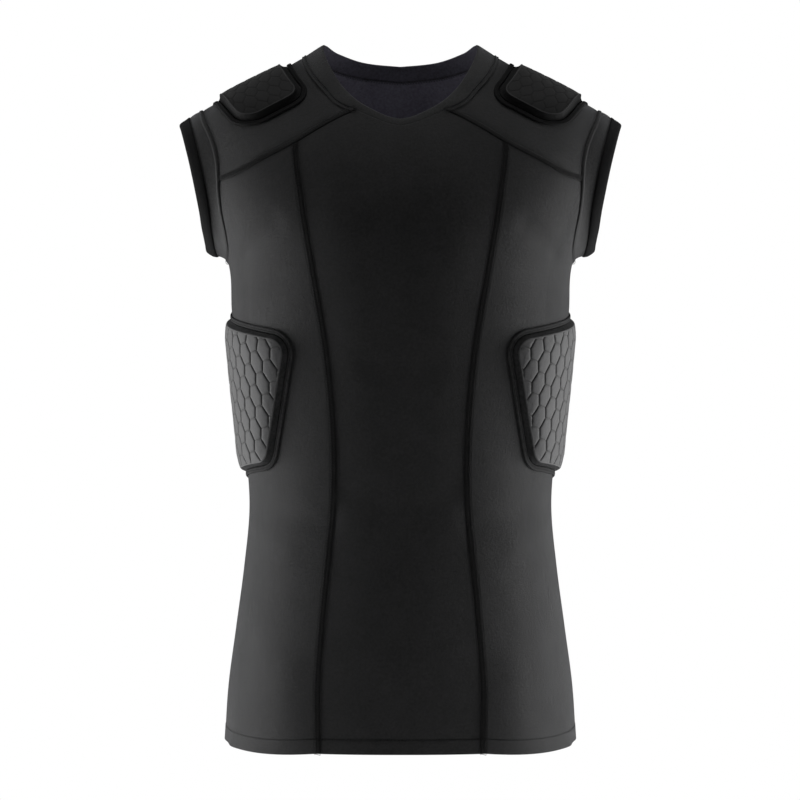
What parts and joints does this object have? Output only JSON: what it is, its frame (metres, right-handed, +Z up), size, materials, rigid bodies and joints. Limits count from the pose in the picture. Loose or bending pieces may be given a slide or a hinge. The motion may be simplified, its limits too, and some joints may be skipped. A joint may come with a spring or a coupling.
{
  "type": "padded compression shirt",
  "caption": "Close-fitting cap-sleeve shirt in worn form, with a V neck, ribs and shoulders padded with six-sided cells.",
  "frame": {"origin": "between the shoulders, level with the foot of the neck at the sides, where the wearer's shoulders hold the shirt up", "axes": "+Z up along the wearer's neck, -Y the front, +X the wearer's left"},
  "size_m": [0.432, 0.2338, 0.6775],
  "materials": {
    "knit": "smooth black stretch knit with a soft sheen",
    "binding": "matt black folded binding",
    "pad_face": "dark grey knit moulded over foam cells, with matt black sides",
    "pad_cover": "black knit moulded over foam cells, with matt black sides",
    "pad_border": "black border strip with a row of stitches"
  },
  "bodies": {
    "root": {"front_panel": "knit", "back_panel": "knit", "neck_band": "knit", "side_panel_left": "knit", "shoulder_yoke_left": "knit", "sleeve_left": "knit", "sleeve_binding_left": "binding", "rib_pad_left": "pad_face", "rib_pad_border_left": "pad_border", "shoulder_pad_left": "pad_cover", "shoulder_pad_border_left": "pad_border", "side_panel_right": "knit", "shoulder_yoke_right": "knit", "sleeve_right": "knit", "sleeve_binding_right": "binding", "rib_pad_right": "pad_face", "rib_pad_border_right": "pad_border", "shoulder_pad_right": "pad_cover", "shoulder_pad_border_right": "pad_border"}
  },
  "joints": []
}
